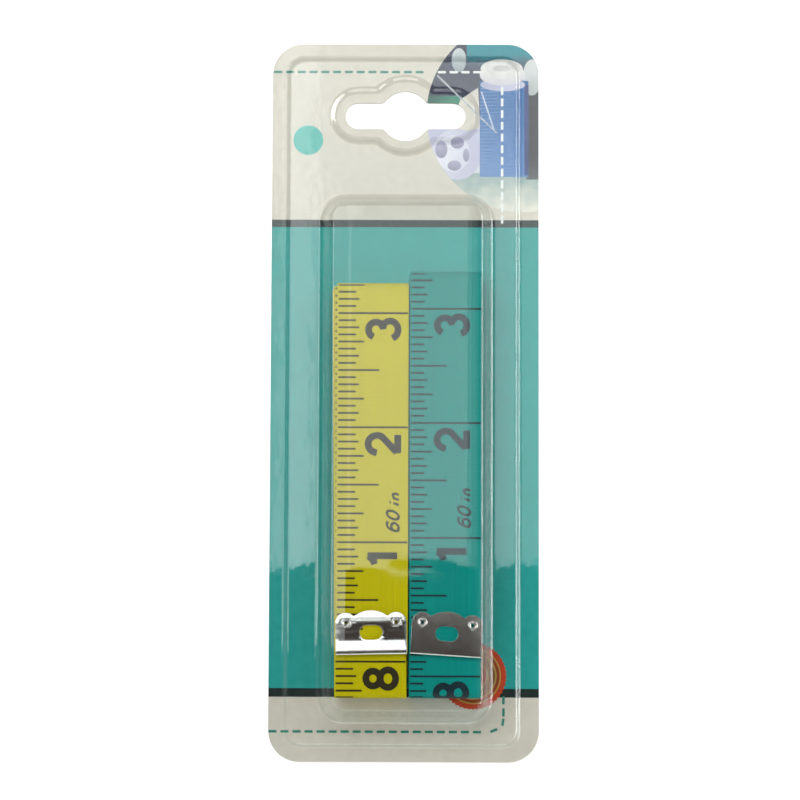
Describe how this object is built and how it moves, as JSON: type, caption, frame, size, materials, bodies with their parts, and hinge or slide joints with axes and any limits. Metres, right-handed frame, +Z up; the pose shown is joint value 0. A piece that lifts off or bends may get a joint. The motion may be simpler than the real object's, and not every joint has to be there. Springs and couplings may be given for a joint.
{
  "type": "carded cloth tape measures",
  "caption": "Flat-wound cloth tape measures with stamped steel end clips, side by side in a clear blister pack on a printed card with a hang slot.",
  "frame": {"origin": "middle of the backing card's back face, on the surface that the pack lies on", "axes": "+Z up out of the front of the pack, +Y along its length towards the hang slot, +X to the right seen from the front"},
  "size_m": [0.0608, 0.1632, 0.0147],
  "materials": {
    "printed_card": "printed coated board, satin",
    "clear_plastic": "clear thermoformed sheet, glossy",
    "yellow_tape_cloth": "coated woven tape, satin",
    "teal_tape_cloth": "coated woven tape, satin",
    "clip_steel": "tin-plated stamped sheet, bright",
    "eyelet_steel": "plated, bright"
  },
  "bodies": {
    "card": {"backing_card": "printed_card"},
    "blister": {"front_blister": "clear_plastic"},
    "yellow_measure": {"yellow_tape": "yellow_tape_cloth", "yellow_zero_clip": "clip_steel", "yellow_zero_eyelet_1": "eyelet_steel", "yellow_zero_eyelet_2": "eyelet_steel", "yellow_inner_clip": "clip_steel", "yellow_inner_eyelet_1": "eyelet_steel", "yellow_inner_eyelet_2": "eyelet_steel"},
    "teal_measure": {"teal_tape": "teal_tape_cloth", "teal_zero_clip": "clip_steel", "teal_zero_eyelet_1": "eyelet_steel", "teal_zero_eyelet_2": "eyelet_steel", "teal_inner_clip": "clip_steel", "teal_inner_eyelet_1": "eyelet_steel", "teal_inner_eyelet_2": "eyelet_steel"}
  },
  "joints": [
    {"name": "blister_peel", "type": "hinge", "parent": "card", "child": "blister", "pos_m": [0, 0.08159, 0.0005], "axis": [-1, 0, 0], "range_deg": [0, 110]},
    {"name": "yellow_measure_lift", "type": "slide", "parent": "card", "child": "yellow_measure", "axis": [0, 0, 1], "range_m": [0, 0.0384]},
    {"name": "teal_measure_lift", "type": "slide", "parent": "card", "child": "teal_measure", "axis": [0, 0, 1], "range_m": [0, 0.0384]}
  ],
  "couplings": [
    {"joint": "yellow_measure_lift", "follows": "blister_peel", "m_per_rad": 0.02},
    {"joint": "teal_measure_lift", "follows": "blister_peel", "m_per_rad": 0.02}
  ]
}
